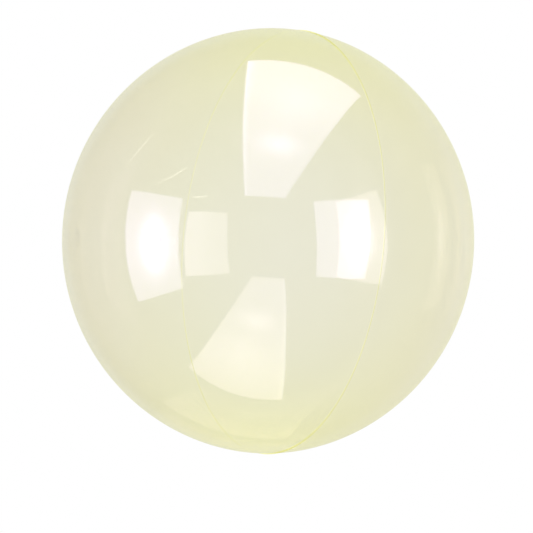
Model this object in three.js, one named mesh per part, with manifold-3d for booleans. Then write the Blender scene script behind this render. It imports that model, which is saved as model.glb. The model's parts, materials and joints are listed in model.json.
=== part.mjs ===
// Clear inflatable beach ball: two film panels joined by one weld around the ball, with a push-in
// air valve on one panel. Millimetres, +Z up, origin at the ball's centre. The weld lies in the
// YZ plane, so the two panels bulge towards -X and +X, and the valve is on the -X panel.
import * as THREE from "three";
import { mergeVertices } from "three/addons/utils/BufferGeometryUtils.js";
import Module from "manifold-3d";

const wasm = await Module();
wasm.setup();

// ---- Driving dimensions -------------------------------------------------------------------

const RUNNING_GAP = 0.3; // between neighbouring pieces

const ball = {
  seamRadius: 249, // film radius at the weld
  weldWidth: 1, // narrow welded lip that stands out around the ball, cut off close to the weld
  film: 0.3, // wall thickness of the vinyl
  poleFlattening: 0.038, // share of the radius lost from the weld to the pole
  crown: 0.3, // how gently the flattening sets in beside the weld
  segments: 64,
  rings: 15,
  ringCrowding: 1.25, // above 1, the rings crowd towards the weld and the valve
};

const valve = {
  fromSeam: 11.5, // degrees from the weld towards the -X pole
  lift: -0.5, // degrees above the +Y direction, around the ball
  patchRadius: 17, // welded ring under the film
  mouthRadius: 10.5, // recess that the stem sinks into
  patchThickness: 0.8,
  patchDrop: 1.3, // below the inner face of the film, clear of its flat facets
  stemRadius: 6,
  boreRadius: 4.3,
  stemLength: 15.2,
  stemTopDrop: 0.3, // stem mouth below the film's outer face
  lipRadius: 6.5,
  lipHeight: 1.2,
  rootRadius: 6.8, // collar at the inner end, where the membrane pulls
  rootHeight: 1.2,
  membraneThickness: 0.5,
  segments: 40,
};

const stopper = {
  headRadius: 7.2,
  headThickness: 1.2,
  plugTopRadius: 3.9,
  plugTipRadius: 3.1,
  plugDepth: 3.5,
  pullLength: 2.6, // finger tab beyond the head
  pullWidth: 5,
};

// The stopper bends open about a line 8.4 mm from the valve's axis and 0.2 mm below the film's
// outer face, between the ear on the stem and the neck on the stopper.
const strap = {
  hingeOffset: 8.4,
  width: 4,
  thickness: 0.9,
};

const flap = {
  radius: 5,
  thickness: 0.6,
  hingeOffset: 5.7,
  neckWidth: 3,
};

const FILM_COLOUR = 0xf0ecc4;
const VALVE_COLOUR = 0xf2efd8;

// ---- Helpers ------------------------------------------------------------------------------

const radians = THREE.MathUtils.degToRad;

// A solid of revolution about +Z. Each profile point is [radius, z].
function turned(profile, segments) {
  const points = profile.map(([radius, z]) => new THREE.Vector2(radius, z));
  return new THREE.LatheGeometry(points, segments).rotateX(Math.PI / 2);
}

function box(sizeX, sizeY, sizeZ, x, y, z) {
  return new THREE.BoxGeometry(sizeX, sizeY, sizeZ).translate(x, y, z);
}

function toSolid(geometry) {
  const bare = geometry.clone().deleteAttribute("normal").deleteAttribute("uv");
  const merged = mergeVertices(bare, 1e-4);
  return new wasm.Manifold(
    new wasm.Mesh({
      numProp: 3,
      vertProperties: merged.attributes.position.array,
      triVerts: new Uint32Array(merged.index.array),
    }),
  );
}

function toGeometry(solid) {
  const mesh = solid.getMesh();
  const geometry = new THREE.BufferGeometry();
  const positions = new THREE.BufferAttribute(mesh.vertProperties, mesh.numProp);
  geometry.setAttribute("position", positions);
  geometry.setIndex(new THREE.BufferAttribute(mesh.triVerts, 1));
  geometry.computeVertexNormals();
  return geometry;
}

function union(first, ...others) {
  const joined = others.reduce((sum, next) => sum.add(toSolid(next)), toSolid(first));
  return toGeometry(joined);
}

function named(name, geometry, color, roughness) {
  const material = new THREE.MeshStandardMaterial({ color, roughness, metalness: 0 });
  const mesh = new THREE.Mesh(geometry, material);
  mesh.name = name;
  return mesh;
}

// ---- The inflated shape -------------------------------------------------------------------

// Film radius at an angle (in degrees) from the weld plane: widest at the weld, where it is round,
// and a little flattened at the pole.
function filmRadius(angle) {
  const lost = Math.hypot(Math.sin(radians(angle)), ball.crown) - ball.crown;
  const most = Math.hypot(1, ball.crown) - ball.crown;
  return ball.seamRadius * (1 - (ball.poleFlattening * lost) / most);
}

// Points [radius, height above the weld plane] along the film, from the pole towards the weld.
function meridian(inset) {
  const points = [];
  for (let ring = 0; ring < ball.rings; ring += 1) {
    const angle = 90 * (1 - ring / ball.rings) ** ball.ringCrowding;
    const radius = filmRadius(angle) - inset;
    const fromAxis = ring === 0 ? 0 : radius * Math.cos(radians(angle));
    points.push([fromAxis, RUNNING_GAP / 2 + radius * Math.sin(radians(angle))]);
  }
  return points;
}

// One panel as a thin open bowl with its half of the weld lip, bulging along +Z.
function panelGeometry() {
  const joint = RUNNING_GAP / 2;
  const lipRadius = ball.seamRadius + ball.weldWidth;
  const outer = meridian(0);
  const inner = meridian(ball.film).reverse();
  const lip = [
    [ball.seamRadius, joint + ball.film],
    [lipRadius, joint + ball.film],
    [lipRadius, joint],
    [ball.seamRadius - ball.film, joint],
  ];
  return turned([...outer, ...lip, ...inner].reverse(), ball.segments);
}

// ---- Valve placement ----------------------------------------------------------------------

const valveAxis = new THREE.Vector3(
  -Math.sin(radians(valve.fromSeam)),
  Math.cos(radians(valve.fromSeam)) * Math.cos(radians(valve.lift)),
  Math.cos(radians(valve.fromSeam)) * Math.sin(radians(valve.lift)),
);

// The valve's own frame: +Z out through the film, +Y the way that climbs the ball.
function valveFrame() {
  const side = new THREE.Vector3(0, 0, 1).cross(valveAxis).normalize();
  const climb = valveAxis.clone().cross(side);
  const frame = new THREE.Group();
  frame.name = "valve";
  frame.setRotationFromMatrix(new THREE.Matrix4().makeBasis(side, climb, valveAxis));
  frame.position.copy(valveAxis).multiplyScalar(filmRadius(valve.fromSeam));
  return frame;
}

// ---- Pieces -------------------------------------------------------------------------------

function plainPanel() {
  const geometry = panelGeometry().rotateY(Math.PI / 2);
  return named("film_panel_plain", geometry, FILM_COLOUR, 0.08);
}

function valvePanel(frame) {
  const bowl = toSolid(panelGeometry().rotateY(-Math.PI / 2));
  const reach = 10;
  const cutter = new THREE.CylinderGeometry(
    valve.mouthRadius + RUNNING_GAP,
    valve.mouthRadius + RUNNING_GAP,
    2 * reach,
    valve.segments,
  ).rotateX(Math.PI / 2);
  frame.updateMatrix();
  const hole = toSolid(cutter.applyMatrix4(frame.matrix));
  return named("film_panel_valve", toGeometry(bowl.subtract(hole)), FILM_COLOUR, 0.08);
}

// How far the ball's surface falls away at a radius from the valve's axis.
function domeDrop(radius) {
  return radius ** 2 / (2 * filmRadius(valve.fromSeam));
}

function patch() {
  const top = -ball.film - valve.patchDrop;
  const middle = (valve.mouthRadius + valve.patchRadius) / 2;
  const stations = [valve.mouthRadius, middle, valve.patchRadius];
  const upper = stations.map((radius) => [radius, top - domeDrop(radius)]);
  const lower = upper.map(([radius, z]) => [radius, z - valve.patchThickness]).reverse();
  const profile = [...upper, ...lower, upper[0]];
  return named("valve_patch", turned(profile.reverse(), valve.segments), VALVE_COLOUR, 0.2);
}

const stemTop = -valve.stemTopDrop;
const stemBottom = stemTop - valve.stemLength;

// Thin cone that joins the patch to the stem's root and turns over when the stem is pulled out.
function membrane() {
  const outerTop = valve.mouthRadius - RUNNING_GAP;
  const innerBottom = valve.rootRadius + RUNNING_GAP;
  const topZ = -ball.film - valve.patchDrop;
  const bottomZ = stemBottom + valve.rootHeight / 2;
  const profile = [
    [innerBottom, bottomZ],
    [innerBottom + valve.membraneThickness, bottomZ],
    [outerTop, topZ],
    [outerTop - valve.membraneThickness, topZ],
    [innerBottom, bottomZ],
  ];
  return named("valve_membrane", turned(profile, valve.segments), VALVE_COLOUR, 0.2);
}

function stem() {
  const profile = [
    [valve.boreRadius, stemTop],
    [valve.boreRadius, stemBottom],
    [valve.rootRadius, stemBottom],
    [valve.rootRadius, stemBottom + valve.rootHeight],
    [valve.stemRadius, stemBottom + valve.rootHeight],
    [valve.stemRadius, stemTop - valve.lipHeight],
    [valve.lipRadius, stemTop - valve.lipHeight],
    [valve.lipRadius, stemTop],
    [valve.boreRadius, stemTop],
  ];
  return named("valve_stem", turned(profile, valve.segments), VALVE_COLOUR, 0.2);
}

// Short ear on the stem's lip that ends beside the line where the stopper's strap bends.
function strapEar() {
  const inner = valve.lipRadius + RUNNING_GAP;
  const outer = strap.hingeOffset - RUNNING_GAP;
  const height = stemTop - valve.lipHeight / 2;
  const middle = -(inner + outer) / 2;
  const ear = box(strap.width, outer - inner, strap.thickness, 0, middle, height);
  return named("stopper_strap", ear, VALVE_COLOUR, 0.2);
}

// Flat head with a tapered plug below it, a neck to the bending line and a finger pull opposite.
function stopperMesh() {
  const head = turned(
    [
      [0, -stopper.plugDepth],
      [stopper.plugTipRadius, -stopper.plugDepth],
      [stopper.plugTopRadius, 0],
      [stopper.headRadius, 0],
      [stopper.headRadius, stopper.headThickness],
      [0, stopper.headThickness],
    ],
    valve.segments,
  );
  const pull = stopper.headRadius + stopper.pullLength;
  const length = pull + strap.hingeOffset;
  const middle = (pull - strap.hingeOffset) / 2;
  const bar = box(stopper.pullWidth, length, strap.thickness, 0, middle, strap.thickness / 2);
  return named("valve_stopper", union(head, bar), VALVE_COLOUR, 0.2);
}

// Disc under the stem that falls open to let air in and is pressed shut by the air inside.
function checkFlap() {
  const top = stemBottom - RUNNING_GAP;
  const disc = turned(
    [
      [0, top - flap.thickness],
      [flap.radius, top - flap.thickness],
      [flap.radius, top],
      [0, top],
    ],
    valve.segments,
  );
  const height = top - flap.thickness / 2;
  const reach = flap.hingeOffset;
  const neck = box(flap.neckWidth, reach, flap.thickness, 0, -reach / 2, height);
  return named("check_flap", union(disc, neck), VALVE_COLOUR, 0.3);
}

// ---- Assembly -----------------------------------------------------------------------------

const beachBall = new THREE.Group();
beachBall.name = "beach_ball";

const valveAssembly = valveFrame();
valveAssembly.add(patch(), membrane(), stem(), strapEar(), stopperMesh(), checkFlap());
beachBall.add(plainPanel(), valvePanel(valveAssembly), valveAssembly);

export default beachBall;
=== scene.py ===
"""Clear inflatable beach ball: two welded film panels with a push-in valve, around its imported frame.

Metres, +Z up, origin at the ball's centre. The weld lies in the YZ plane, the panels bulge towards
-X and +X, and the valve is on the -X panel. Sizes come from the frame; what the frame doesn't hold
is a named dimension below.
"""

import json
import math

import bmesh
import bpy
import numpy as np
from mathutils import Matrix, Vector


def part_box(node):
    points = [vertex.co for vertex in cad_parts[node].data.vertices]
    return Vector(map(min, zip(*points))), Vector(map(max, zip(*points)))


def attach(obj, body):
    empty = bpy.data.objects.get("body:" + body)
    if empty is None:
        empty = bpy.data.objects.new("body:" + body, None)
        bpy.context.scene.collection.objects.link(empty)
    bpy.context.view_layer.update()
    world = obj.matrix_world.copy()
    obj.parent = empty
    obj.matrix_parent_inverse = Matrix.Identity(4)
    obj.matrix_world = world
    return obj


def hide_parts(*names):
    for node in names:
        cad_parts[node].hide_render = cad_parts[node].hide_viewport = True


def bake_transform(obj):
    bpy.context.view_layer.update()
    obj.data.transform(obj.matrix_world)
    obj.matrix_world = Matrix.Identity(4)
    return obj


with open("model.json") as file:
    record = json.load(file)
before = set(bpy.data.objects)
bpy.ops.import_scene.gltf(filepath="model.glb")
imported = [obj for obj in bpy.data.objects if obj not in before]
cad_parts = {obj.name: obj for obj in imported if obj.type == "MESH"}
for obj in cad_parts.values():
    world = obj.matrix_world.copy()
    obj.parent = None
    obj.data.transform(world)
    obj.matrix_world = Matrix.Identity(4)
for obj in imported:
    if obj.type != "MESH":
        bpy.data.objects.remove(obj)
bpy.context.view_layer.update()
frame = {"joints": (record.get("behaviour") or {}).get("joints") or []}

MM = 0.001
JOINTS = {joint["name"]: joint for joint in frame["joints"]}

# ---- Driving dimensions ---------------------------------------------------------------------

# The inflated shape. The lip and the pole come from the frame.
LIP_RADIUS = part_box("film_panel_plain")[1].z
POLE_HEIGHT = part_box("film_panel_plain")[1].x
WELD_WIDTH = 1.0 * MM
SEAM_RADIUS = LIP_RADIUS - WELD_WIDTH
FILM = 0.3 * MM
WELD_GAP = 0.02 * MM
FLATTENING = 1 - POLE_HEIGHT / SEAM_RADIUS
CROWN = 0.3  # how gently the flattening sets in beside the weld, as a sine from the weld plane
WELD_BEND = 0.3 * MM  # radius of the bend from the panel into the lip

# Mesh fineness.
SEGMENTS = 192
RINGS = 60
REFINE_LEVELS = 3
REFINE_REACH = 9 * MM  # half-width of the first finer zone around a crease
PATH_STEP = math.radians(0.6)  # spacing of the points along a crease
RIM_POINTS = 60  # points round the mouth, where the mesh is fine too
BEND_STEPS = 6
TURNED_SEGMENTS = 96
SHARP_ANGLE = math.radians(35)  # edges of the valve that bend by more are drawn sharp

# Relief of the film.
CREASE_HEIGHT = 0.012 * MM
CREASE_HALF_WIDTH = 0.5 * MM
CREASE_FADE = 0.35  # below 1, so a crease keeps its height until near its ends
LUMP_HEIGHT = 0.012 * MM
LUMP_SIZE = 75 * MM
LUMP_SPREAD = 0.35  # how much the lumps differ in size
LUMP_WAVES = 7
GOLDEN_ANGLE = 2.399963  # radians
PUCKER_HEIGHT = 0.02 * MM
PUCKER_REACH = math.radians(5)
PUCKER_COUNT = 46

# Creases left by the packing fold: how strong each is, then its points (degrees from the weld,
# degrees around the ball from +Y towards +Z). Each one ends in nothing at both ends.
VALVE_PANEL_CREASES = [
    (1.0, [(53, 137), (59, 141), (64, 145)]),
    (1.0, [(47, 159), (51, 161), (55, 162)]),
    (0.9, [(42, 170), (46, 170)]),
    (0.4, [(9, -165), (5, -167)]),
]
PLAIN_PANEL_CREASES = [
    (0.35, [(3, 158), (7, 161)]),
    (0.35, [(8, 158), (3, 162)]),
]

# The valve, in millimetres in its own frame: +Z out along its axis, zero on the stopper's seat.
# The hinge line of the stopper lies on the -Y side.
MOUTH_RADIUS = 10.8  # round hole in the film
HINGE_OFFSET = 8.4
HINGE_DROP = 0.2
PATCH = {"inner": 10.5, "outer": 17.0, "gap": 0.06, "thickness": 0.8, "edge": 0.3}
WELD_RIBS = {"height": 0.07, "count": 6}
MEMBRANE = {"half_thickness": 0.24, "clearance": 0.1, "root_lap": 0.6}
STEM = {"bore": 4.3, "outer": 6.0, "lip": 6.5, "root": 6.8, "top": -0.3, "bottom": -15.5}
STEM_LIP_HEIGHT = 1.2
STEM_ROOT_HEIGHT = 1.2
STEM_SLOPE = 0.3  # height over which the lip and the collar run out into the tube
STEM_BEAD = {"drop": 2.4, "height": 0.15, "half_width": 0.4}
STEM_GRIPS = {"heights": (-5.2, -4.0), "height": 0.25, "half_width": 0.45}
STEM_LUG = {"half_width": 1.5, "reach": 6.6, "inner": 5.95, "drop": 0.85, "rise": 0.3}
STRAP = {"width": 4.0, "edge": 0.12, "half_gap": 0.48, "root": 6.1, "neck": 6.6}
STRAP_TAPER = [(7.2, 0.7), (7.9, 0.6), (8.2, 0.5)]  # (distance from the axis, thickness)
STRAP_FOLD_THICKNESS = 0.46
HEAD = {"radius": 7.2, "top": 1.2, "seat": 0.02}
HEAD_DISH = {"radius": 1.2, "floor": 1.05, "slope": 0.15}
PLUG = {"top": 4.1, "neck": 3.95, "waist": 3.85, "tip": 3.1, "bottom": -3.5}
PLUG_BULGE = {"height": -1.0, "half_width": 0.3}
PLUG_HOLLOW = {"radius": 2.2, "widening": 0.2, "top": -0.4}
BAR = {"half_width": 2.5, "neck_end": -8.1, "tab_end": 9.8, "low": 0.04, "high": 0.92}
TAB_RIBS = {"count": 3, "start": 7.85, "pitch": 0.55, "half_depth": 0.14, "low": 0.6, "high": 1.12}
TAB_RIB_HALF_WIDTH = {"first": 1.9, "shortening": 0.2}  # they get shorter towards the round end
FLAP = {"radius": 5.0, "thickness": 0.6, "gap": 0.3}
FLAP_SEAL = {"radius": 3.9, "height": 0.12, "slope": 0.3}
FLAP_NECK = {"half_width": 1.5, "reach": 5.7, "inner": 3.8, "inset": 0.02}


# ---- Arrays on the unit sphere --------------------------------------------------------------


def unit(vectors):
    """Each row at length 1."""
    return vectors / np.linalg.norm(vectors, axis=-1, keepdims=True)


def direction(side, from_weld, around):
    """Unit vector at an angle from the weld plane and an angle around the ball, in degrees."""
    lift, turn = math.radians(from_weld), math.radians(around)
    return np.array(
        [
            side * math.sin(lift),
            math.cos(lift) * math.cos(turn),
            math.cos(lift) * math.sin(turn),
        ]
    )


def lift_of(points):
    """The angle of each unit vector from the weld plane."""
    return np.arcsin(np.clip(np.abs(points[:, 0]), 0, 1))


def arc_points(side, stations):
    """Points along great-circle arcs through the stations."""
    corners = [direction(side, *station) for station in stations]
    points = [corners[0]]
    for start, end in zip(corners, corners[1:]):
        count = max(2, math.ceil(math.acos(min(1.0, start @ end)) / PATH_STEP))
        for index in range(1, count + 1):
            share = index / count
            points.append(unit(start * (1 - share) + end * share))
    return np.array(points)


def circle_points(axis, radius):
    """Points round a circle of that radius on the film, about an axis through the ball's centre."""
    side = unit(np.cross(axis, [0.0, 0.0, 1.0]))
    climb = np.cross(side, axis)
    turn = np.linspace(0, 2 * math.pi, RIM_POINTS + 1)
    ring = np.outer(np.cos(turn), side) + np.outer(np.sin(turn), climb)
    return unit(axis + ring * radius / SEAM_RADIUS)


def distance_to_path(points, path):
    """For each unit vector, its distance to the path and the share of the path at that place."""
    farthest = 9.0  # more than any two points of the unit sphere are apart
    best = np.full(len(points), farthest)
    share = np.zeros(len(points))
    for index in range(len(path) - 1):
        start, leg = path[index], path[index + 1] - path[index]
        along = np.clip((points - start) @ leg / (leg @ leg), 0, 1)
        gap = np.linalg.norm(points - start - along[:, None] * leg, axis=1)
        nearer = gap < best
        best = np.where(nearer, gap, best)
        share = np.where(nearer, (index + along) / (len(path) - 1), share)
    return best * SEAM_RADIUS, share


# ---- The film's shape -----------------------------------------------------------------------


def film_radius(lift):
    """Distance from the ball's centre to the film's outer face, at an angle from the weld plane."""
    share = (np.hypot(np.sin(lift), CROWN) - CROWN) / (math.hypot(1, CROWN) - CROWN)
    return SEAM_RADIUS * (1 - FLATTENING * share)


def lumps(points):
    """Slow unevenness of the blown-up film: a few plane waves with no common direction."""
    total = np.zeros(len(points))
    for index in range(LUMP_WAVES):
        turn = index * GOLDEN_ANGLE  # so that no two waves line up
        tilt = math.acos(1 - 2 * (index + 0.5) / LUMP_WAVES)
        wave = np.array(
            [
                math.sin(tilt) * math.cos(turn),
                math.sin(tilt) * math.sin(turn),
                math.cos(tilt),
            ]
        )
        length = LUMP_SIZE * (1 + LUMP_SPREAD * math.sin(5 * index))
        phase = 1.7 * index
        total += np.sin(points @ wave * (2 * math.pi * SEAM_RADIUS / length) + phase)
    return LUMP_HEIGHT * total / math.sqrt(LUMP_WAVES)


def puckers(points):
    """Short waves that run out from the weld, of uneven height around the ball.

    The swell and the drift keep them from repeating; their phases are free choices.
    """
    around = np.arctan2(points[:, 2], points[:, 1])
    side = np.sign(points[:, 0])
    swell = 0.5 + 0.5 * np.sin(3 * around + 0.8 + side) * np.sin(7 * around + 2.1 * side)
    drift = 1.3 * np.sin(5 * around)
    wave = np.sin(PUCKER_COUNT * around + drift + side)
    return PUCKER_HEIGHT * swell * wave * np.exp(-((lift_of(points) / PUCKER_REACH) ** 2))


def crease_field(points, creases):
    """Height of the creases' ridges, as a share of a full ridge."""
    field = np.zeros(len(points))
    for strength, path in creases:
        gap, share = distance_to_path(points, path)
        fade = strength * np.sin(math.pi * np.clip(share, 0.0, 1.0)) ** CREASE_FADE
        field = np.maximum(field, fade * np.exp(-((gap / CREASE_HALF_WIDTH) ** 2)))
    return field


def outer_radius(points, creases):
    """Distance from the ball's centre to the film's outer face, with its relief."""
    relief = lumps(points) + puckers(points) + CREASE_HEIGHT * crease_field(points, creases)
    return film_radius(lift_of(points)) + relief


def outer_surface(points, creases):
    """Places and normals of the film's outer face in the given directions."""
    radius = outer_radius(points, creases)
    near_x = np.abs(points[:, :1]) >= 0.8
    helper = np.where(near_x, [[0.0, 1.0, 0.0]], [[1.0, 0.0, 0.0]])  # never along the point itself
    first = unit(np.cross(points, helper))
    second = np.cross(points, first)
    step = 1e-4
    slope = np.zeros_like(points)
    for tangent in (first, second):
        ahead = outer_radius(unit(points + step * tangent), creases)
        behind = outer_radius(unit(points - step * tangent), creases)
        slope += ((ahead - behind) / (2 * step))[:, None] * tangent
    normals = unit(points - slope / radius[:, None])
    return radius[:, None] * points, normals


# ---- Panel mesh -----------------------------------------------------------------------------


def bend_centre(lift):
    """Centre of a bend that touches the film at lift, then the film's normal there.

    Each is a place or direction along X and outwards from the X axis.
    """
    step = 1e-6
    radius = film_radius(lift)
    slope = (film_radius(lift + step) - film_radius(lift - step)) / (2 * step * radius)
    length = math.hypot(1, slope)
    normal_x = (math.sin(lift) - slope * math.cos(lift)) / length
    normal_r = (math.cos(lift) + slope * math.sin(lift)) / length
    centre_x = radius * math.sin(lift) + WELD_BEND * normal_x
    centre_r = radius * math.cos(lift) + WELD_BEND * normal_r
    return centre_x, centre_r, normal_x, normal_r


def weld_join():
    """The angle from the weld plane at which the bend into the lip meets the panel."""
    low, high = 0.0, 0.1  # the angle lies between these
    halvings = 50
    for _ in range(halvings):
        lift = (low + high) / 2
        if bend_centre(lift)[0] < WELD_GAP / 2 + FILM + WELD_BEND:
            low = lift
        else:
            high = lift
    return low


def refine(bm, paths, levels, reach):
    """Halves the edges near the paths, again and again in narrower zones."""
    for level in range(levels):
        bm.faces.ensure_lookup_table()
        centres = unit(np.array([face.calc_center_median() for face in bm.faces]))
        near = np.zeros(len(centres), bool)
        for path in paths:
            near |= distance_to_path(centres, path)[0] < reach / 2**level
        edges = {edge for face, chosen in zip(bm.faces, near) if chosen for edge in face.edges}
        bmesh.ops.subdivide_edges(bm, edges=list(edges), cuts=1, use_grid_fill=True)


def hemisphere(side, edge_lift, fine_paths):
    """Unit vectors and outward faces from the pole to edge_lift; the weld's ring comes first."""
    bm = bmesh.new()
    rings = []
    for ring in range(RINGS):
        lift = edge_lift + (math.pi / 2 - edge_lift) * ring / RINGS
        turn = [360 * k / SEGMENTS for k in range(SEGMENTS)]
        rings.append([bm.verts.new(direction(side, math.degrees(lift), a)) for a in turn])
    pole = bm.verts.new((side, 0, 0))
    for lower, upper in zip(rings, rings[1:]):
        for k in range(SEGMENTS):
            following = (k + 1) % SEGMENTS
            bm.faces.new((lower[k], lower[following], upper[following], upper[k]))
    for k in range(SEGMENTS):
        bm.faces.new((rings[-1][k], rings[-1][(k + 1) % SEGMENTS], pole))
    refine(bm, fine_paths, REFINE_LEVELS, REFINE_REACH)
    bm.verts.index_update()
    points = unit(np.array([vertex.co for vertex in bm.verts], float))
    faces = [[vertex.index for vertex in face.verts] for face in bm.faces]
    bm.free()
    if side < 0:
        faces = [face[::-1] for face in faces]
    return points, faces


def cut_hole(points, faces, axis, radius):
    """Leaves out the faces inside a round hole and draws its rim to the exact radius."""
    places = points * film_radius(math.asin(abs(axis[0])))
    across = np.linalg.norm(places - (places @ axis)[:, None] * axis, axis=1)
    inside = (across < radius) & (points @ axis > 0)
    kept = [face for face in faces if sum(inside[v] for v in face) * 2 <= len(face)]
    uses = {}
    for face in kept:
        for a, b in zip(face, face[1:] + face[:1]):
            uses[a, b] = uses.get((a, b), 0) + 1
    rim = [(a, b) for a, b in uses if (b, a) not in uses and a >= SEGMENTS and b >= SEGMENTS]
    for vertex in {v for pair in rim for v in pair}:
        along = places[vertex] @ axis
        outward = places[vertex] - along * axis
        place = along * axis + outward * radius / np.linalg.norm(outward)
        points[vertex] = place / np.linalg.norm(place)
    return points, kept, rim


def film_sheet(side, edge_lift, paths, hole):
    """Unit vectors, faces and the hole's rim edges of a panel, with unused points left out."""
    rim = []
    if hole:
        paths = paths + [circle_points(hole["axis"], hole["radius"])]
    points, faces = hemisphere(side, edge_lift, paths)
    if hole:
        points, faces, rim = cut_hole(points, faces, hole["axis"], hole["radius"])
    used = sorted({v for face in faces for v in face})
    renumber = {old: new for new, old in enumerate(used)}
    faces = [[renumber[v] for v in face] for face in faces]
    rim = [(renumber[a], renumber[b]) for a, b in rim]
    return points[used], faces, rim


def weld_profile(join):
    """Lip section from the panel's outer face round to its inner face: (x, radius, nx, nr)."""
    centre_x, centre_r, normal_x, normal_r = bend_centre(join)
    start = math.atan2(-normal_r, -normal_x)
    bend = [start + (-math.pi - start) * index / BEND_STEPS for index in range(1, BEND_STEPS + 1)]
    section = []
    for angle in bend:
        x, r = math.cos(angle), math.sin(angle)
        section.append((centre_x + WELD_BEND * x, centre_r + WELD_BEND * r, -x, -r))
    half = FILM / 2
    middle_x = WELD_GAP / 2 + half
    edge_r = LIP_RADIUS - half
    for angle in range(0, 181, 45):
        x, r = math.cos(math.radians(angle)), math.sin(math.radians(angle))
        section.append((middle_x + half * x, edge_r + half * r, x, r))
    inner_bend = WELD_BEND + FILM
    for angle in reversed(bend):
        x, r = math.cos(angle), math.sin(angle)
        section.append((centre_x + inner_bend * x, centre_r + inner_bend * r, x, r))
    return section


def lip_rings(side, section, around):
    """Places and normals of the lip's rings, one ring for each point of its section."""
    places, normals = [], []
    for x, r, normal_x, normal_r in section:
        for rings, along, outward in ((places, x, r), (normals, normal_x, normal_r)):
            ring_x = np.full(SEGMENTS, side * along)
            rings.append(np.c_[ring_x, outward * np.cos(around), outward * np.sin(around)])
    return places, normals


def ring_faces(side, starts):
    """Faces between neighbouring rings, given the number of each ring's first vertex."""
    faces = []
    for lower, upper in zip(starts, starts[1:]):
        for k in range(SEGMENTS):
            following = (k + 1) % SEGMENTS
            quad = [lower + k, upper + k, upper + following, lower + following]
            faces.append(quad if side > 0 else quad[::-1])
    return faces


def panel(name, side, creases, hole=None):
    """One film panel as a closed shell: outer face, inner face, lip, and the rim of any hole."""
    join = weld_join()
    paths = [(strength, arc_points(side, stations)) for strength, stations in creases]
    points, faces, rim = film_sheet(side, join, [path for _, path in paths], hole)
    outer, normals = outer_surface(points, paths)
    outer[:, 0] += side * WELD_GAP / 2
    inner = outer - FILM * normals
    count = len(points)

    around = np.arctan2(points[:SEGMENTS, 2], points[:SEGMENTS, 1])
    section = weld_profile(join)
    lip, lip_normals = lip_rings(side, section, around)
    vertices = np.vstack([outer, inner] + lip)
    all_normals = np.vstack([normals, -normals] + lip_normals)

    shell = faces + [[v + count for v in face[::-1]] for face in faces]
    shell += [[b, a, a + count, b + count] for a, b in rim]
    starts = [0] + [2 * count + index * SEGMENTS for index in range(len(section))] + [count]
    all_faces = shell + ring_faces(side, starts)

    mesh = bpy.data.meshes.new(name)
    mesh.from_pydata(vertices.tolist(), [], all_faces)
    mesh.shade_smooth()
    mesh.normals_split_custom_set_from_vertices(all_normals.tolist())
    marks = np.zeros(len(vertices), np.float32)
    marks[:count] = crease_field(points, paths)
    marks[count : 2 * count] = marks[:count]
    mesh.attributes.new("crease", "FLOAT", "POINT").data.foreach_set("value", marks)
    mesh.materials.append(film_vinyl())
    mesh.materials.append(welded_vinyl())
    slots = np.zeros(len(all_faces), np.int32)
    slots[len(shell) :] = 1
    mesh.polygons.foreach_set("material_index", slots)
    mesh.validate()
    return add_object(name, mesh)


def add_object(name, data):
    """An object in the scene for a mesh or a camera."""
    made = bpy.data.objects.new(name, data)
    bpy.context.scene.collection.objects.link(made)
    return made


def keep(piece, body, node):
    """The piece stands for the CAD node and rides on its body."""
    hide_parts(node)
    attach(piece, body)


# ---- Valve meshes ---------------------------------------------------------------------------


def valve_frame():
    """Matrix from the valve's own frame, in millimetres, to the row frame, in metres."""
    axis = Vector(JOINTS["valve_pull_out"]["axis"]).normalized()
    side = Vector((0, 0, 1)).cross(axis).normalized()
    climb = axis.cross(side)
    turn = Matrix((side, climb, axis)).transposed().to_4x4()
    hinge = Vector(JOINTS["stopper_open"]["pos_m"])
    origin = hinge + (climb * HINGE_OFFSET + axis * HINGE_DROP) * MM
    return Matrix.Translation(origin) @ turn @ Matrix.Scale(MM, 4)


def patch_top():
    """Height of the patch's upper face on the valve's axis: a small gap below the film."""
    origin = valve_frame().translation
    film_face = film_radius(math.asin(abs(origin.x) / origin.length)) - origin.length
    return (film_face - FILM) / MM - PATCH["gap"]


def dome_drop(radius):
    """How far the ball's face falls away at a radius from the valve's axis, in millimetres."""
    return radius**2 / (2 * SEAM_RADIUS / MM)


def softened(corners, steps=5):
    """A closed outline of (u, v, radius) corners, each rounded by its radius."""
    most = 0.48  # share of a side that one rounding may take
    outline = []
    count = len(corners)
    for index in range(count):
        here = Vector(corners[index][:2])
        radius = corners[index][2]
        if radius == 0:
            outline.append(tuple(here))
            continue
        before = Vector(corners[index - 1][:2]) - here
        after = Vector(corners[(index + 1) % count][:2]) - here
        start = here + before.normalized() * min(radius, most * before.length)
        end = here + after.normalized() * min(radius, most * after.length)
        for step in range(steps + 1):
            t = step / steps
            point = start * (1 - t) ** 2 + here * (2 * t * (1 - t)) + end * t**2
            outline.append(tuple(point))
    return outline


def rectangle(half_width, low, high, low_radius=0, high_radius=0, steps=5):
    """Outline of a plate centred on x = 0, with its low and its high pair of corners rounded."""
    corners = [
        (-half_width, low, low_radius),
        (half_width, low, low_radius),
        (half_width, high, high_radius),
        (-half_width, high, high_radius),
    ]
    return softened(corners, steps)


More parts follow.
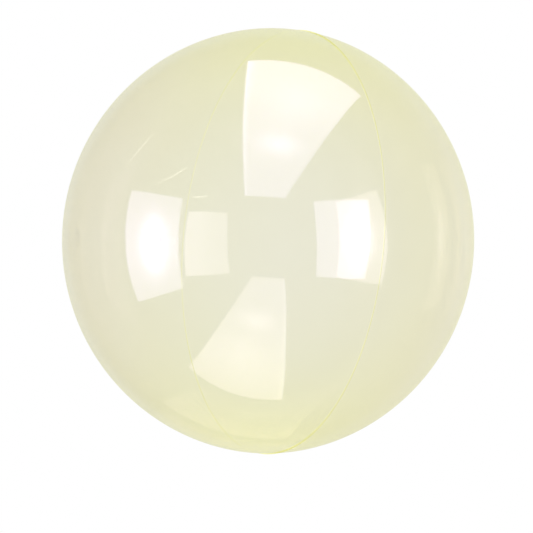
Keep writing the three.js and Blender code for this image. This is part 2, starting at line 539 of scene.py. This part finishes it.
def turned(name, outline):
    """Closed body of revolution about +Z from an outline of (radius, z), in millimetres."""
    bm = bmesh.new()
    rings = []
    for radius, z in outline:
        if radius < 1e-6:
            rings.append([bm.verts.new((0, 0, z))])
            continue
        turns = [2 * math.pi * k / TURNED_SEGMENTS for k in range(TURNED_SEGMENTS)]
        rings.append([bm.verts.new((radius * math.cos(a), radius * math.sin(a), z)) for a in turns])
    for here, there in zip(rings, rings[1:] + rings[:1]):
        if len(here) == 1 and len(there) == 1:
            continue
        for k in range(TURNED_SEGMENTS):
            following = (k + 1) % TURNED_SEGMENTS
            loop = [here[k % len(here)], here[following % len(here)]]
            loop += [there[following % len(there)], there[k % len(there)]]
            bm.faces.new(list(dict.fromkeys(loop)))
    bmesh.ops.recalc_face_normals(bm, faces=bm.faces)
    return finished(name, bm)


def slab(name, outline, low, high, edge=0.15):
    """Flat plate with the outline (x, y) between two heights, its edges rounded."""
    bm = bmesh.new()
    base = bm.faces.new([bm.verts.new((x, y, low)) for x, y in outline])
    raised = bmesh.ops.extrude_face_region(bm, geom=[base])["geom"]
    tops = [item for item in raised if isinstance(item, bmesh.types.BMVert)]
    bmesh.ops.translate(bm, verts=tops, vec=(0, 0, high - low))
    bmesh.ops.recalc_face_normals(bm, faces=bm.faces)
    rims = [e for e in bm.edges if abs(e.verts[0].co.z - e.verts[1].co.z) < 1e-6]
    bmesh.ops.bevel(bm, geom=rims, offset=edge, segments=3, profile=0.5, affect="EDGES")
    return finished(name, bm)


def ribbon(name, spine, width, edge):
    """Flat strap along a spine of (y, z, thickness) points, centred on x = 0."""
    bm = bmesh.new()
    sections = []
    for index, (y, z, thickness) in enumerate(spine):
        before = Vector(spine[max(index - 1, 0)][:2])
        after = Vector(spine[min(index + 1, len(spine) - 1)][:2])
        along = (after - before).normalized()
        across = Vector((-along.y, along.x))
        ring = []
        for x, t in rectangle(width / 2, -thickness / 2, thickness / 2, edge, edge, 3):
            place = Vector((y, z)) + across * t
            ring.append(bm.verts.new((x, place.x, place.y)))
        sections.append(ring)
    for here, there in zip(sections, sections[1:]):
        for k in range(len(here)):
            following = (k + 1) % len(here)
            bm.faces.new((here[k], here[following], there[following], there[k]))
    bm.faces.new(sections[0])
    bm.faces.new(sections[-1])
    bmesh.ops.recalc_face_normals(bm, faces=bm.faces)
    return finished(name, bm)


def finished(name, bm):
    """A valve part: its mesh in the row frame, in metres, smooth where it is rounded."""
    bm.transform(valve_frame())
    mesh = bpy.data.meshes.new(name)
    bm.to_mesh(mesh)
    bm.free()
    mesh.shade_smooth()
    mesh.set_sharp_from_angle(angle=SHARP_ANGLE)
    mesh.materials.append(valve_vinyl())
    return add_object(name, mesh)


def fused(base, *others):
    """One closed body from overlapping ones."""
    for other in others:
        cut = base.modifiers.new("fuse", "BOOLEAN")
        cut.operation = "UNION"
        cut.solver = "EXACT"
        cut.object = other
    graph = bpy.context.evaluated_depsgraph_get()
    mesh = bpy.data.meshes.new_from_object(base.evaluated_get(graph))
    base.modifiers.clear()
    base.data = mesh
    for other in others:
        bpy.data.objects.remove(other)
    return base


def patch_piece():
    """Ring welded under the film, with the ribs that the welding tool presses into it."""
    stations = 27
    rib_height = WELD_RIBS["height"]
    upper, lower = [], []
    for index in range(stations):
        share = index / (stations - 1)
        radius = PATCH["inner"] + (PATCH["outer"] - PATCH["inner"]) * share
        wave = math.sin(2 * WELD_RIBS["count"] * math.pi * share)
        rib = rib_height * math.sin(math.pi * share) * wave
        top = patch_top() - dome_drop(radius)
        thickness = PATCH["thickness"] + (PATCH["edge"] - PATCH["thickness"]) * share**3
        upper.append((radius, top - rib_height + rib))
        lower.append((radius, top - thickness))
    return turned("patch_ring", upper + lower[::-1])


def membrane_piece():
    """Thin cone from the patch down to the stem's root, curved like a pushed-in sock."""
    stations = 24
    half = MEMBRANE["half_thickness"]
    wide = PATCH["inner"] + MEMBRANE["clearance"]
    narrow = STEM["root"] + MEMBRANE["clearance"]
    top = patch_top() - PATCH["thickness"] / 2 - dome_drop(PATCH["inner"])
    bottom = STEM["bottom"] + MEMBRANE["root_lap"]
    outside, inside = [], []
    for index in range(stations):
        share = index / (stations - 1)
        ease = share * share * (3 - 2 * share)
        radius = wide + (narrow - wide) * ease
        z = top + (bottom - top) * share
        outside.append((radius + half, z))
        inside.append((radius - half, z))
    return turned("membrane_sleeve", outside + inside[::-1])


def stem_piece():
    """Tube with a rounded lip, two grip rings, a bead in the bore and a collar at the root."""
    top, bottom = STEM["top"], STEM["bottom"]
    bore, outer = STEM["bore"], STEM["outer"]
    bead_z = top - STEM_BEAD["drop"]
    corners = [
        (bore, top, 0.35),
        (bore, bead_z + STEM_BEAD["half_width"], 0.2),
        (bore - STEM_BEAD["height"], bead_z, 0.15),
        (bore, bead_z - STEM_BEAD["half_width"], 0.2),
        (bore, bottom, 0.25),
        (STEM["root"], bottom, 0.3),
        (STEM["root"], bottom + STEM_ROOT_HEIGHT, 0.3),
        (outer, bottom + STEM_ROOT_HEIGHT + STEM_SLOPE, 0.2),
    ]
    for grip_z in STEM_GRIPS["heights"]:
        corners += [
            (outer, grip_z - STEM_GRIPS["half_width"], 0.15),
            (outer + STEM_GRIPS["height"], grip_z, 0.25),
            (outer, grip_z + STEM_GRIPS["half_width"], 0.15),
        ]
    corners += [
        (outer, top - STEM_LIP_HEIGHT - STEM_SLOPE, 0.2),
        (STEM["lip"], top - STEM_LIP_HEIGHT, 0.2),
        (STEM["lip"], top, 0.4),
    ]
    tube = turned("stem_tube", softened(corners))
    plan = rectangle(STEM_LUG["half_width"], -STEM_LUG["reach"], -STEM_LUG["inner"])
    lug = slab("lug", plan, bottom - STEM_LUG["drop"], bottom + STEM_LUG["rise"])
    return fused(tube, lug)


def strap_piece():
    """Strap from the stem's lip, folded back over the hinge line to the stopper's neck."""
    arm = HINGE_DROP + STRAP["half_gap"]
    lower, upper = -HINGE_DROP - arm, -HINGE_DROP + arm
    thickest = STRAP_TAPER[0][1]
    spine = [(-STRAP["root"], lower, thickest)]
    spine += [(-reach, lower, thickness) for reach, thickness in STRAP_TAPER]
    steps = 12
    for step in range(steps + 1):
        angle = math.pi * step / steps
        y = -HINGE_OFFSET - arm * math.sin(angle)
        spine.append((y, -HINGE_DROP - arm * math.cos(angle), STRAP_FOLD_THICKNESS))
    spine += [(-reach, upper, thickness) for reach, thickness in reversed(STRAP_TAPER)]
    spine.append((-STRAP["neck"], upper, thickest))
    return ribbon("stopper_leash", spine, STRAP["width"], STRAP["edge"])


def stopper_piece():
    """Flat head with a hollow plug below, a neck to the strap and a ribbed finger tab."""
    bulge_z, bulge_half = PLUG_BULGE["height"], PLUG_BULGE["half_width"]
    corners = [
        (0, HEAD_DISH["floor"], 0),
        (HEAD_DISH["radius"], HEAD_DISH["floor"], 0.15),
        (HEAD_DISH["radius"] + HEAD_DISH["slope"], HEAD["top"], 0.1),
        (HEAD["radius"], HEAD["top"], 0.6),
        (HEAD["radius"], HEAD["seat"], 0.25),
        (PLUG["top"], HEAD["seat"], 0.2),
        (PLUG["neck"], bulge_z + bulge_half, 0.1),
        (PLUG["top"], bulge_z, 0.12),
        (PLUG["waist"], bulge_z - bulge_half, 0.1),
        (PLUG["tip"], PLUG["bottom"], 0.35),
        (PLUG_HOLLOW["radius"], PLUG["bottom"], 0.2),
        (PLUG_HOLLOW["radius"] + PLUG_HOLLOW["widening"], PLUG_HOLLOW["top"], 0.5),
        (0, PLUG_HOLLOW["top"], 0),
    ]
    head = turned("stopper_cap", softened(corners))
    plan = rectangle(BAR["half_width"], BAR["neck_end"], BAR["tab_end"], 0.6, 1.7, 6)
    bar = slab("bar", plan, BAR["low"], BAR["high"], 0.2)
    ribs = []
    for index in range(TAB_RIBS["count"]):
        y = TAB_RIBS["start"] + TAB_RIBS["pitch"] * index
        half_width = TAB_RIB_HALF_WIDTH["first"] - TAB_RIB_HALF_WIDTH["shortening"] * index
        low, high = y - TAB_RIBS["half_depth"], y + TAB_RIBS["half_depth"]
        plan = rectangle(half_width, low, high, 0.1, 0.1, 2)
        ribs.append(slab("rib", plan, TAB_RIBS["low"], TAB_RIBS["high"], 0.06))
    return fused(head, bar, *ribs)


def flap_piece():
    """Disc that lies under the stem, on a short neck, with a raised sealing ring."""
    top = STEM["bottom"] - FLAP["gap"]
    bottom = top - FLAP["thickness"]
    corners = [
        (0, top - FLAP_SEAL["height"], 0),
        (FLAP_SEAL["radius"] - FLAP_SEAL["slope"], top - FLAP_SEAL["height"], 0.2),
        (FLAP_SEAL["radius"], top, 0.15),
        (FLAP["radius"], top, 0.2),
        (FLAP["radius"], bottom, 0.2),
        (0, bottom, 0),
    ]
    disc = turned("flap_disc", softened(corners))
    plan = rectangle(FLAP_NECK["half_width"], -FLAP_NECK["reach"], -FLAP_NECK["inner"])
    neck = slab("neck", plan, bottom + FLAP_NECK["inset"], top - FLAP_NECK["inset"])
    return fused(disc, neck)


def build_valve():
    """All pieces of the valve. The sleeve and the strap stay in the row frame, on no body."""
    keep(patch_piece(), "ball", "valve_patch")
    keep(stem_piece(), "stem", "valve_stem")
    keep(stopper_piece(), "stopper", "valve_stopper")
    keep(flap_piece(), "flap", "check_flap")
    sleeve = membrane_piece()
    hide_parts("valve_membrane")
    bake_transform(sleeve)
    leash = strap_piece()
    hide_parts("stopper_strap")
    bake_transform(leash)


# ---- Node helper ----------------------------------------------------------------------------


class Nodes:
    """Builds a node tree in plain calls. An input is a number, a tuple or another node's socket."""

    def __init__(self, tree):
        self.tree = tree
        tree.nodes.clear()

    def add(self, kind, **settings):
        """A new node with its settings."""
        node = self.tree.nodes.new(kind)
        for key, value in settings.items():
            setattr(node, key, value)
        return node

    def feed(self, socket, value):
        """Links another node's socket to this one, or sets this one's own value."""
        if isinstance(value, bpy.types.NodeSocket):
            self.tree.links.new(value, socket)
        else:
            socket.default_value = value

    def math(self, operation, *values):
        node = self.add("ShaderNodeMath", operation=operation)
        for socket, value in zip(node.inputs, values):
            self.feed(socket, value)
        return node.outputs[0]

    def vector(self, operation, first, second=None):
        node = self.add("ShaderNodeVectorMath", operation=operation)
        self.feed(node.inputs[0], first)
        if second is not None:
            self.feed(node.inputs[1], second)
        return node.outputs["Value" if operation in ("LENGTH", "DOT_PRODUCT") else "Vector"]

    def scale(self, vector, factor):
        node = self.add("ShaderNodeVectorMath", operation="SCALE")
        self.feed(node.inputs[0], vector)
        self.feed(node.inputs["Scale"], factor)
        return node.outputs["Vector"]

    def split(self, vector):
        """The three outputs of a vector's parts."""
        node = self.add("ShaderNodeSeparateXYZ")
        self.feed(node.inputs[0], vector)
        return node.outputs

    def noise(self, size, detail=2.0):
        """Noise from 0 to 1 whose features are about size metres across."""
        place = self.add("ShaderNodeTexCoord").outputs["Object"]
        node = self.add("ShaderNodeTexNoise")
        self.feed(node.inputs["Vector"], place)
        self.feed(node.inputs["Scale"], 1 / size)
        self.feed(node.inputs["Detail"], detail)
        return node.outputs["Fac"]

    def mix_shader(self, factor, first, second):
        node = self.add("ShaderNodeMixShader")
        self.feed(node.inputs[0], factor)
        self.feed(node.inputs[1], first)
        self.feed(node.inputs[2], second)
        return node.outputs[0]

    def add_shader(self, first, second):
        node = self.add("ShaderNodeAddShader")
        self.feed(node.inputs[0], first)
        self.feed(node.inputs[1], second)
        return node.outputs[0]

    def shader(self, kind, **inputs):
        """A shader node's output, with its inputs given by name."""
        node = self.add(kind)
        for key, value in inputs.items():
            self.feed(node.inputs[key], value)
        return node.outputs[0]

    def finish(self, surface):
        output = self.add("ShaderNodeOutputMaterial")
        self.feed(output.inputs["Surface"], surface)


def material(name, build):
    """The material of that name, built once."""
    found = bpy.data.materials.get(name)
    if found:
        return found
    made = bpy.data.materials.new(name)
    made.use_nodes = True
    nodes = Nodes(made.node_tree)
    nodes.finish(build(nodes))
    return made


# ---- Materials ------------------------------------------------------------------------------

VINYL_IOR = 1.54
SLANT_POWER = 3.0  # a slanted path counts for more than its length, because the vinyl is hazy

# Light taken by one wall straight through, in red, green and blue: optical depths. SEAM_DEPTH is
# added beside the weld, where the film is stretched least and is yellower.
WALL_DEPTH = (0.0175, 0.0335, 0.080)
SEAM_DEPTH = (-0.0155, -0.0290, 0.076)
LIP_DEPTH = (0.005, 0.005, 0.17)
VALVE_DEPTH = (0.002, 0.004, 0.04)
SEAM_FADE = 0.6  # sine of the angle from the weld where about a third of SEAM_DEPTH is left
MOTTLE = {"size": 0.06, "least": 0.88, "span": 0.24}  # unevenness of the film's tint

# Roughness of the mirror reflection: least, most, and the metres over which it wanders.
FILM_GLOSS = (0.03, 0.08, 0.03)
LIP_GLOSS = (0.2, 0.4, 0.004)
VALVE_GLOSS = (0.12, 0.3, 0.003)

# Share of a polished face's reflection that the pressed lip and the moulded valve keep.
LIP_MIRROR = 0.06
VALVE_MIRROR = 0.35

CREASE_COLOUR = (1.0, 0.97, 0.72)
CREASE_WHITENING = 0.115
CLOUD = {"size": 0.004, "detail": 3.0, "least": 0.02, "span": 0.04}  # haze of the valve's vinyl
CLOUD_REFLECTED = (0.95, 0.94, 0.74, 1)
CLOUD_TRANSMITTED = (0.97, 0.96, 0.76, 1)


def surface_mirror(nodes):
    """Share of light that a vinyl face mirrors, the same seen from either side of the face."""
    backfacing = nodes.add("ShaderNodeNewGeometry").outputs["Backfacing"]
    fresnel = nodes.add("ShaderNodeFresnel")
    gain = 1 / VINYL_IOR - VINYL_IOR
    ior = nodes.math("MULTIPLY_ADD", backfacing, gain, VINYL_IOR)
    nodes.feed(fresnel.inputs["IOR"], ior)
    return fresnel.outputs[0]


def slanted_path(nodes):
    """How much more a slanted path through the film counts than a straight one."""
    weight = nodes.add("ShaderNodeLayerWeight")
    weight.inputs["Blend"].default_value = 0.5  # makes Facing 1 minus the cosine
    cosine = nodes.math("SUBTRACT", 1.0, weight.outputs["Facing"])
    sine_squared = nodes.math("MULTIPLY_ADD", nodes.math("MULTIPLY", cosine, cosine), -1.0, 1.0)
    inside = nodes.math("MULTIPLY_ADD", sine_squared, -1 / VINYL_IOR**2, 1.0)
    return nodes.math("POWER", inside, -SLANT_POWER / 2)


def transmitted(nodes, depth):
    """Colour left after one face of a wall: each face takes half of the wall's depth."""
    run = nodes.scale(depth, nodes.math("MULTIPLY", slanted_path(nodes), -0.5))
    whole = nodes.add("ShaderNodeCombineXYZ")
    for socket, part in zip(whole.inputs, nodes.split(run)):
        nodes.feed(socket, nodes.math("EXPONENT", part))
    return whole.outputs[0]


def beside_weld(nodes):
    """1 at the weld, fading to 0 towards the poles."""
    place = nodes.add("ShaderNodeTexCoord").outputs["Object"]
    share = nodes.math("DIVIDE", nodes.split(place)["X"], nodes.vector("LENGTH", place))
    share = nodes.math("DIVIDE", share, SEAM_FADE)
    return nodes.math("EXPONENT", nodes.math("MULTIPLY", nodes.math("MULTIPLY", share, share), -1.0))


def gloss(nodes, least, most, size):
    """Mirror reflection whose sharpness wanders a little over the surface."""
    roughness = nodes.math("MULTIPLY_ADD", nodes.noise(size), most - least, least)
    return nodes.shader("ShaderNodeBsdfGlossy", Color=(1, 1, 1, 1), Roughness=roughness)


def clear_layer(nodes, depth, polish, mirror_share=1):
    """Clear tinted vinyl, which mirrors a share of the light and lets the rest through."""
    through = nodes.shader("ShaderNodeBsdfTransparent", Color=transmitted(nodes, depth))
    mirror = surface_mirror(nodes)
    if mirror_share < 1:
        mirror = nodes.math("MULTIPLY", mirror, mirror_share)
    return nodes.mix_shader(mirror, through, gloss(nodes, *polish))


def whitening(nodes, clear):
    """Folds scatter a little light, so a crease shows as a fine pale line."""
    mark = nodes.add("ShaderNodeAttribute", attribute_name="crease").outputs["Fac"]
    shade = nodes.scale(CREASE_COLOUR, nodes.math("MULTIPLY", mark, CREASE_WHITENING))
    pale = nodes.add_shader(
        nodes.shader("ShaderNodeBsdfDiffuse", Color=shade),
        nodes.shader("ShaderNodeBsdfTranslucent", Color=shade),
    )
    return nodes.add_shader(clear, pale)


def film_vinyl():
    """The panels: clear and pale yellow, deeper beside the weld, with whitened creases."""

    def build(nodes):
        seam = nodes.scale(SEAM_DEPTH, beside_weld(nodes))
        wander = nodes.noise(MOTTLE["size"])
        mottle = nodes.math("MULTIPLY_ADD", wander, MOTTLE["span"], MOTTLE["least"])
        depth = nodes.vector("ADD", nodes.scale(WALL_DEPTH, mottle), seam)
        return whitening(nodes, clear_layer(nodes, depth, FILM_GLOSS))

    return material("film_vinyl", build)


def welded_vinyl():
    """The lip: pressed matt by the welding tool, so it mirrors little."""

    def build(nodes):
        return clear_layer(nodes, LIP_DEPTH, LIP_GLOSS, LIP_MIRROR)

    return material("welded_vinyl", build)


def valve_vinyl():
    """Softer, thicker and cloudier vinyl than the film, with the fine grain of its mould."""

    def build(nodes):
        clear = clear_layer(nodes, VALVE_DEPTH, VALVE_GLOSS, VALVE_MIRROR)
        cloud = nodes.mix_shader(
            0.5,
            nodes.shader("ShaderNodeBsdfDiffuse", Color=CLOUD_REFLECTED),
            nodes.shader("ShaderNodeBsdfTranslucent", Color=CLOUD_TRANSMITTED),
        )
        grain = nodes.noise(CLOUD["size"], CLOUD["detail"])
        amount = nodes.math("MULTIPLY_ADD", grain, CLOUD["span"], CLOUD["least"])
        return nodes.mix_shader(amount, clear, cloud)

    return material("valve_vinyl", build)


# ---- Camera, lights and surroundings --------------------------------------------------------

VIEW_AZIMUTH = -27.74
VIEW_ELEVATION = -2.19
VIEW_ROLL = 4.17
VIEW_DISTANCE = 5.471 * SEAM_RADIUS
LENS = 77.33
SENSOR_WIDTH = 36
AIM_DROP = 1.255  # degrees that the camera points below the ball's centre
AIM_ASIDE = 0.035  # degrees that it points to the left of it

# What the film mirrors: brightest a little to the right of straight behind the ball, dark behind
# the camera. The tints are taken away from its colour behind the ball and below it.
SURROUNDINGS_COLOUR = (0.99, 1.01, 0.98)
BRIGHT_ASIDE = 0.085  # radians
BRIGHT_POWER = 1.8
BRIGHT_GAIN = 1.2
BRIGHT_OFFSET = -0.2
RIGHT_GAIN = 0.07  # how much brighter it is towards the right
BEHIND_TINT = (0.10, 0.12, 0.27)
BEHIND_EDGE = 0.8  # cosine of the angle from the brightest place where the tint sets in
BEHIND_SPAN = 0.16
BELOW_TINT = (0.06, 0.10, 0.16)

FLOOR_HALF_SIZE = 12.0
FLOOR_GAP = 0.5 * MM

# Each softbox: its corners as (degrees right of the camera, degrees up) from top left clockwise,
# how far its left side sags inwards, its even glow, and hot spots (u, v, spread u, spread v, gain).
SOFTBOX_COLOUR = (0.70, 0.625, 1.03, 1)
SOFTBOX_DISTANCE = 6.0
SOFTBOX_STEPS = 24
SOFTBOXES = {
    "softbox_over": {
        "corners": [(-155, 71), (106, 56.5), (5, 21.5), (-16, 22.5)],
        "sag": 0.045,
        "base": 2.0,
        "hot_spots": [
            (0.48, 0.37, 0.28, 0.06, 1.8),
            (0.5, 0.62, 0.3, 0.14, 0.8),
            (0.5, 0.75, 1.5, 0.35, 1.0),
            (0.0, 0.5, 0.05, 3.0, 1.2),
        ],
    },
    "softbox_left": {
        "corners": [(-83, 19.5), (-49.5, 19.5), (-49.5, -20.5), (-80.5, -23)],
        "sag": 0.0,
        "base": 1.8,
        "hot_spots": [(0.56, 0.5, 0.2, 0.22, 7.5), (0.5, 0.5, 1.2, 0.4, 1.0)],
    },
    "softbox_right": {
        "corners": [(20, 19.5), (52.5, 18.5), (50, -16.5), (21.5, -16.5)],
        "sag": 0.0,
        "base": 2.0,
        "hot_spots": [(0.8, 0.5, 0.4, 1.5, 0.9)],
    },
}


def camera_axes():
    """Columns: right, forwards and up, as the camera is held when it points at the ball."""
    azimuth, elevation = math.radians(VIEW_AZIMUTH), math.radians(VIEW_ELEVATION)
    forward = Vector(
        (
            -math.sin(azimuth) * math.cos(elevation),
            math.cos(azimuth) * math.cos(elevation),
            -math.sin(elevation),
        )
    )
    level = forward.cross(Vector((0, 0, 1))).normalized()
    right = Matrix.Rotation(-math.radians(VIEW_ROLL), 3, forward) @ level
    up = right.cross(forward)
    return Matrix((right, forward, up)).transposed()


def add_camera(axes):
    """The camera, tipped a little off the ball's centre."""
    data = bpy.data.cameras.new("camera")
    data.lens = LENS
    data.sensor_width = SENSOR_WIDTH
    data.clip_start = 0.01
    data.clip_end = 100
    made = add_object("camera", data)
    right, forward, up = (axes.col[k] for k in range(3))
    tip = Matrix.Rotation(math.radians(AIM_ASIDE), 3, up)
    tip @= Matrix.Rotation(-math.radians(AIM_DROP), 3, right)
    turn = Matrix((tip @ right, tip @ up, tip @ -forward)).transposed()
    made.matrix_world = Matrix.Translation(-forward * VIEW_DISTANCE) @ turn.to_4x4()
    bpy.context.scene.camera = made


def bearing(axes, right_of_camera, height):
    """Unit vector from the ball: degrees right of the line to the camera, degrees up."""
    turn, lift = math.radians(right_of_camera), math.radians(height)
    level = math.cos(lift)
    return axes @ Vector((math.sin(turn) * level, -math.cos(turn) * level, math.sin(lift)))


def softbox_sheet(name, axes, corners, sag):
    """Curved sheet at one distance from the ball, with u from left to right and v upwards."""
    top_left, top_right, low_right, low_left = (bearing(axes, *c) for c in corners)
    bm = bmesh.new()
    layer = bm.loops.layers.uv.new("sheet")
    grid = []
    for row in range(SOFTBOX_STEPS + 1):
        v = row / SOFTBOX_STEPS
        line = []
        for column in range(SOFTBOX_STEPS + 1):
            u = column / SOFTBOX_STEPS
            across = u + sag * (1 - u) * math.sin(math.pi * v)
            upper = top_left.lerp(top_right, across)
            lower = low_left.lerp(low_right, across)
            place = lower.lerp(upper, v).normalized() * SOFTBOX_DISTANCE
            line.append((bm.verts.new(place), (u, v)))
        grid.append(line)
    for row in range(SOFTBOX_STEPS):
        for column in range(SOFTBOX_STEPS):
            cells = [grid[row][column], grid[row][column + 1]]
            cells += [grid[row + 1][column + 1], grid[row + 1][column]]
            face = bm.faces.new([vertex for vertex, _ in cells])
            for loop, (_, uv) in zip(face.loops, cells):
                loop[layer].uv = uv
    mesh = bpy.data.meshes.new(name)
    bm.to_mesh(mesh)
    bm.free()
    return mesh


def softbox(name, axes, corners, sag, base, hot_spots):
    """A glowing sheet that lights the ball and shows in reflections, hidden from the camera itself."""

    def build(nodes):
        place = nodes.add("ShaderNodeUVMap", uv_map="sheet").outputs[0]
        glow = base
        for u, v, spread_u, spread_v, gain in hot_spots:
            offset = nodes.vector("SUBTRACT", place, (u, v, 0))
            offset = nodes.vector("DIVIDE", offset, (spread_u, spread_v, 1))
            squared = nodes.vector("DOT_PRODUCT", offset, offset)
            spot = nodes.math("EXPONENT", nodes.math("MULTIPLY", squared, -1.0))
            glow = nodes.math("MULTIPLY_ADD", spot, gain, glow)
        return nodes.shader("ShaderNodeEmission", Color=SOFTBOX_COLOUR, Strength=glow)

    mesh = softbox_sheet(name, axes, corners, sag)
    mesh.materials.append(material(name, build))
    made = add_object(name, mesh)
    made.visible_camera = False


def surroundings(axes):
    """White to the eye; in reflections, bright behind the ball and dark behind the camera."""
    world = bpy.data.worlds.new("studio")
    bpy.context.scene.world = world
    world.use_nodes = True
    nodes = Nodes(world.node_tree)
    look = nodes.add("ShaderNodeTexCoord").outputs["Generated"]
    brightest = axes @ Vector((math.sin(BRIGHT_ASIDE), math.cos(BRIGHT_ASIDE), 0))
    toward = nodes.vector("DOT_PRODUCT", look, tuple(brightest))
    share = nodes.math("MULTIPLY_ADD", toward, 0.5, 0.5)
    share = nodes.math("POWER", nodes.math("MAXIMUM", share, 0.0), BRIGHT_POWER)
    share = nodes.math("MULTIPLY_ADD", share, BRIGHT_GAIN, BRIGHT_OFFSET)
    share = nodes.math("MAXIMUM", share, 0.0)
    rightward = nodes.vector("DOT_PRODUCT", look, tuple(axes.col[0]))
    share = nodes.math("MULTIPLY", share, nodes.math("MULTIPLY_ADD", rightward, RIGHT_GAIN, 1.0))
    behind = nodes.math("MULTIPLY_ADD", toward, 1 / BEHIND_SPAN, -BEHIND_EDGE / BEHIND_SPAN)
    behind = nodes.math("MINIMUM", nodes.math("MAXIMUM", behind, 0.0), 1.0)
    colour = nodes.vector("SUBTRACT", SURROUNDINGS_COLOUR, nodes.scale(BEHIND_TINT, behind))
    below = nodes.vector("DOT_PRODUCT", look, tuple(-axes.col[2]))
    below = nodes.math("MAXIMUM", below, 0.0)
    colour = nodes.vector("SUBTRACT", colour, nodes.scale(BELOW_TINT, below))
    camera_ray = nodes.add("ShaderNodeLightPath").outputs["Is Camera Ray"]
    seen = nodes.vector("MAXIMUM", nodes.scale(colour, share), camera_ray)
    background = nodes.shader("ShaderNodeBackground", Color=seen)
    output = nodes.add("ShaderNodeOutputWorld")
    nodes.feed(output.inputs["Surface"], background)


def add_floor():
    """White floor just below the ball, left out of reflections and shadows."""
    half = FLOOR_HALF_SIZE
    height = -LIP_RADIUS - FLOOR_GAP
    mesh = bpy.data.meshes.new("floor")
    corners = [(-half, -half), (half, -half), (half, half), (-half, half)]
    mesh.from_pydata([(x, y, height) for x, y in corners], [], [(0, 1, 2, 3)])

    def build(nodes):
        return nodes.shader("ShaderNodeEmission", Color=(1, 1, 1, 1), Strength=1.0)

    mesh.materials.append(material("floor", build))
    floor = add_object("floor", mesh)
    floor.visible_glossy = False
    floor.visible_diffuse = False
    floor.visible_shadow = False


# ---- The scene ------------------------------------------------------------------------------

view_axes = camera_axes()
add_camera(view_axes)
surroundings(view_axes)
add_floor()
for softbox_name, settings in SOFTBOXES.items():
    softbox(softbox_name, view_axes, **settings)

valve_axis = unit(np.array(JOINTS["valve_pull_out"]["axis"]))
mouth = {"axis": valve_axis, "radius": MOUTH_RADIUS * MM}
keep(panel("plain_film", 1, PLAIN_PANEL_CREASES), "ball", "film_panel_plain")
keep(panel("valve_film", -1, VALVE_PANEL_CREASES, mouth), "ball", "film_panel_valve")
build_valve()

bpy.context.scene.view_settings.view_transform = "Standard"
bpy.context.scene.cycles.transparent_max_bounces = 32
bpy.context.scene.cycles.max_bounces = 16
bpy.context.scene.cycles.glossy_bounces = 12
